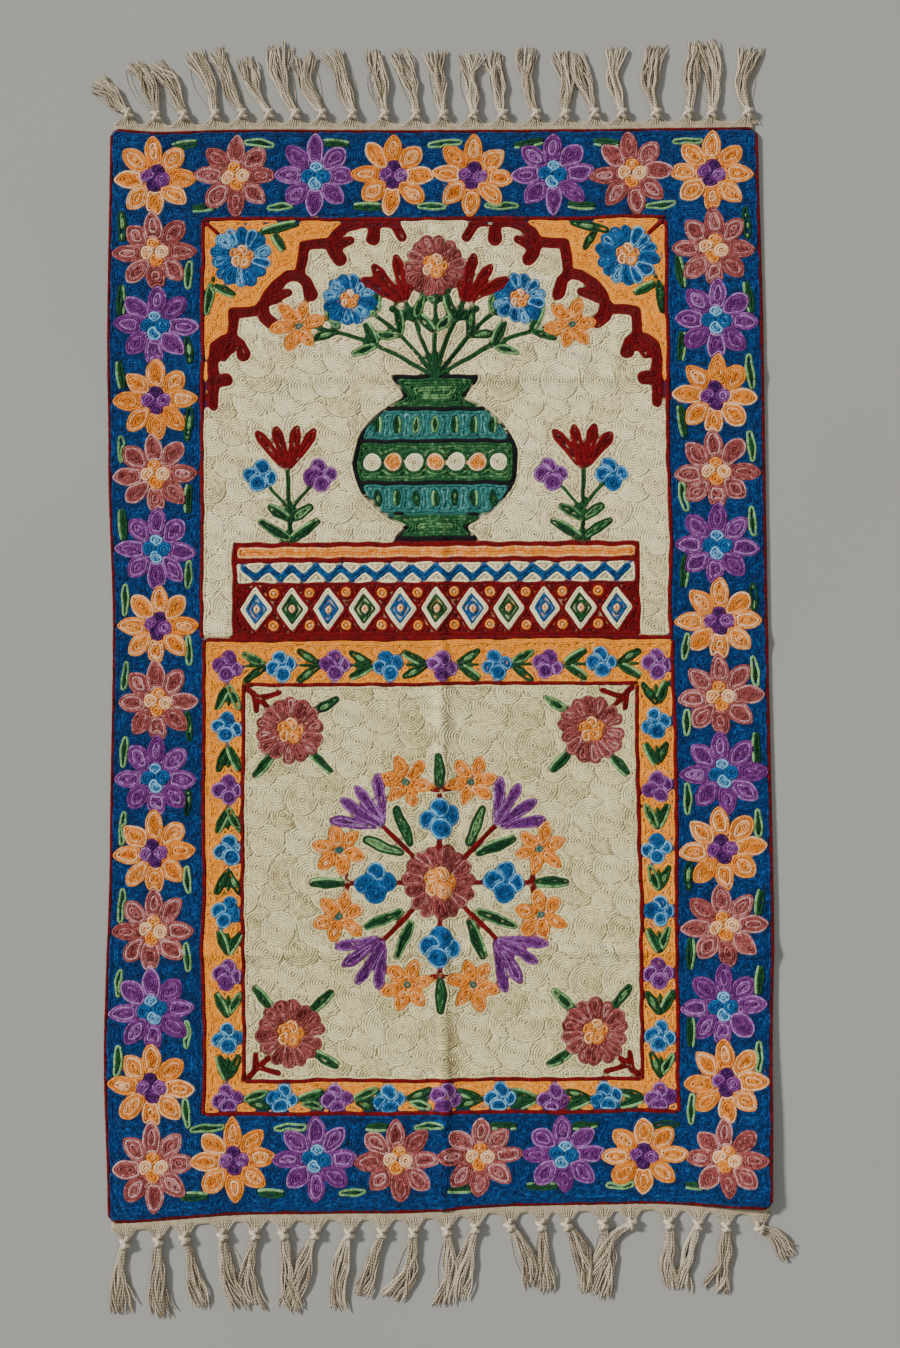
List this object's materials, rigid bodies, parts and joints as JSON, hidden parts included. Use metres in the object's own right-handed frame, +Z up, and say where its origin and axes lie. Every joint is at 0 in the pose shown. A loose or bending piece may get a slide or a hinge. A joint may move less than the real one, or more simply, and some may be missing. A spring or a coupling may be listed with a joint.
{
  "type": "prayer mat",
  "caption": "Flat hand-embroidered prayer mat of wool chain stitch on cotton canvas, with a flower border, an arched niche field and a knotted cotton fringe at each end.",
  "frame": {"origin": "middle of the mat's whole outline with its fringes, on the floor it lies on", "axes": "+Z up from the floor, +Y along the mat towards the arched end, +X across the mat"},
  "size_m": [0.7438, 1.3182, 0.013],
  "materials": {
    "wool_chain_stitch": "matte wool chain stitch in blue, cream, orange, rose, purple and green, covering the canvas",
    "cotton_yarn": "matte undyed cotton yarn and canvas"
  },
  "bodies": {
    "root": {"mat": "wool_chain_stitch", "fringe_top": "cotton_yarn", "fringe_bottom": "cotton_yarn"}
  },
  "joints": []
}
